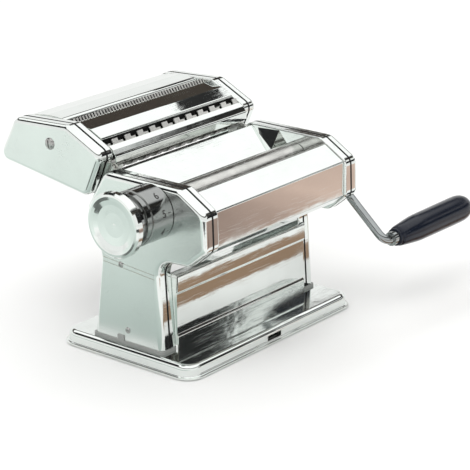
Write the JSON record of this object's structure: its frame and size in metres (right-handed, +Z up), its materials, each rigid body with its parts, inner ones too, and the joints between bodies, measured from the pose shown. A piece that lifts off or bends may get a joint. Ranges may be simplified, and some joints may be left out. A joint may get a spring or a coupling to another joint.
{
  "type": "pasta roller machine",
  "caption": "Hand-cranked chromed-steel pasta roller machine with a thickness knob and a lift-off head holding wide and fine cutters",
  "frame": {"origin": "on the table under the middle of the base", "axes": "+X towards the crank end, -Y towards the side where the dough sheet comes out, +Z up"},
  "size_m": [0.345, 0.2307, 0.1674],
  "materials": {
    "chromed_steel": "bright chrome plate on pressed steel sheet",
    "roller_steel": "ground and nickel-plated steel",
    "plain_steel": "zinc-plated steel",
    "foot_rubber": "moulded rubber",
    "seat_plastic": "moulded grey strip",
    "bush_brass": "turned brass",
    "grip_plastic": "moulded black plastic, satin to gloss"
  },
  "bodies": {
    "stand": {"base_plate": "chromed_steel", "clamp_socket": "plain_steel", "rubber_feet": "foot_rubber", "left_side_plate": "chromed_steel", "right_side_plate": "chromed_steel", "left_side_cover": "chromed_steel", "right_side_cover": "chromed_steel", "cover_posts": "plain_steel", "cover_screws": "plain_steel", "tie_rods": "plain_steel", "tie_rod_nuts": "plain_steel", "leg_seats": "seat_plastic", "leg_brackets": "plain_steel", "base_screws": "plain_steel", "front_apron": "chromed_steel", "front_hood": "chromed_steel", "feed_plate": "chromed_steel", "feed_guides": "chromed_steel", "rear_scraper": "roller_steel", "frame_bushes": "bush_brass", "carriage_guides": "plain_steel", "index_plate": "plain_steel", "head_rails": "plain_steel"},
    "drive_unit": {"drive_roller": "roller_steel", "drive_gear": "plain_steel"},
    "crank": {"crank_rod": "chromed_steel"},
    "grip": {"crank_grip": "grip_plastic", "grip_end_ring": "grip_plastic"},
    "carriage": {"left_carriage_arm": "plain_steel", "right_carriage_arm": "plain_steel", "front_scraper": "roller_steel"},
    "front_unit": {"front_roller": "roller_steel", "front_gear": "plain_steel"},
    "regulator": {"regulator_sleeve": "plain_steel", "regulator_cam": "plain_steel", "knob_retainer": "plain_steel", "knob_spring": "plain_steel"},
    "knob": {"knob_body": "chromed_steel", "knob_cap": "chromed_steel"},
    "cutter_head": {"left_head_plate": "chromed_steel", "right_head_plate": "chromed_steel", "left_head_cover": "chromed_steel", "right_head_cover": "chromed_steel", "head_cover_screws": "plain_steel", "head_tie_rods": "plain_steel", "head_rod_nuts": "plain_steel", "head_rear_plate": "chromed_steel", "head_ridge_cover": "chromed_steel", "head_front_plate": "chromed_steel", "wide_comb": "roller_steel", "fine_comb": "roller_steel", "head_hooks": "plain_steel"},
    "wide_front_unit": {"wide_cutter_front": "roller_steel", "wide_gear_front": "plain_steel"},
    "wide_rear_unit": {"wide_cutter_rear": "roller_steel", "wide_gear_rear": "plain_steel"},
    "fine_front_unit": {"fine_cutter_front": "roller_steel", "fine_gear_front": "plain_steel"},
    "fine_rear_unit": {"fine_cutter_rear": "roller_steel", "fine_gear_rear": "plain_steel"}
  },
  "joints": [
    {"name": "drive_spin", "type": "hinge", "parent": "stand", "child": "drive_unit", "pos_m": [0, -0.023, 0.1195], "axis": [1, 0, 0], "continuous": true},
    {"name": "crank_pull", "type": "slide", "parent": "drive_unit", "child": "crank", "axis": [1, 0, 0], "range_m": [0, 0.03]},
    {"name": "grip_spin", "type": "hinge", "parent": "crank", "child": "grip", "pos_m": [0, -0.0919, 0.05854], "axis": [1, 0, 0], "continuous": true},
    {"name": "knob_turn", "type": "hinge", "parent": "stand", "child": "regulator", "pos_m": [0, -0.023, 0.1195], "axis": [1, 0, 0], "range_deg": [-80, 160]},
    {"name": "knob_pull", "type": "slide", "parent": "regulator", "child": "knob", "axis": [-1, 0, 0], "range_m": [0, 0.004], "stiffness_N_per_m": 900, "springref_m": -0.003, "deforming": ["knob_spring"]},
    {"name": "gap_slide", "type": "slide", "parent": "stand", "child": "carriage", "axis": [0, -1, 0], "range_m": [-0.00084, 0.00167]},
    {"name": "front_spin", "type": "hinge", "parent": "carriage", "child": "front_unit", "pos_m": [0, -0.04813, 0.1195], "axis": [1, 0, 0], "continuous": true},
    {"name": "head_lift", "type": "slide", "parent": "stand", "child": "cutter_head", "axis": [0, -0.4054, 0.9141], "range_m": [0, 0.045]},
    {"name": "wide_front_spin", "type": "hinge", "parent": "cutter_head", "child": "wide_front_unit", "pos_m": [0, 0.0435, 0.1395], "axis": [1, 0, 0], "continuous": true},
    {"name": "wide_rear_spin", "type": "hinge", "parent": "cutter_head", "child": "wide_rear_unit", "pos_m": [0, 0.05788, 0.15033], "axis": [1, 0, 0], "continuous": true},
    {"name": "fine_front_spin", "type": "hinge", "parent": "cutter_head", "child": "fine_front_unit", "pos_m": [0, 0.077, 0.143], "axis": [1, 0, 0], "continuous": true},
    {"name": "fine_rear_spin", "type": "hinge", "parent": "cutter_head", "child": "fine_rear_unit", "pos_m": [0, 0.09138, 0.15383], "axis": [1, 0, 0], "continuous": true}
  ],
  "couplings": [
    {"joint": "gap_slide", "follows": "knob_turn", "m_per_rad": 0.00059683},
    {"joint": "front_spin", "follows": "drive_spin", "ratio": -1},
    {"joint": "wide_rear_spin", "follows": "wide_front_spin", "ratio": -1},
    {"joint": "fine_rear_spin", "follows": "fine_front_spin", "ratio": -1}
  ]
}
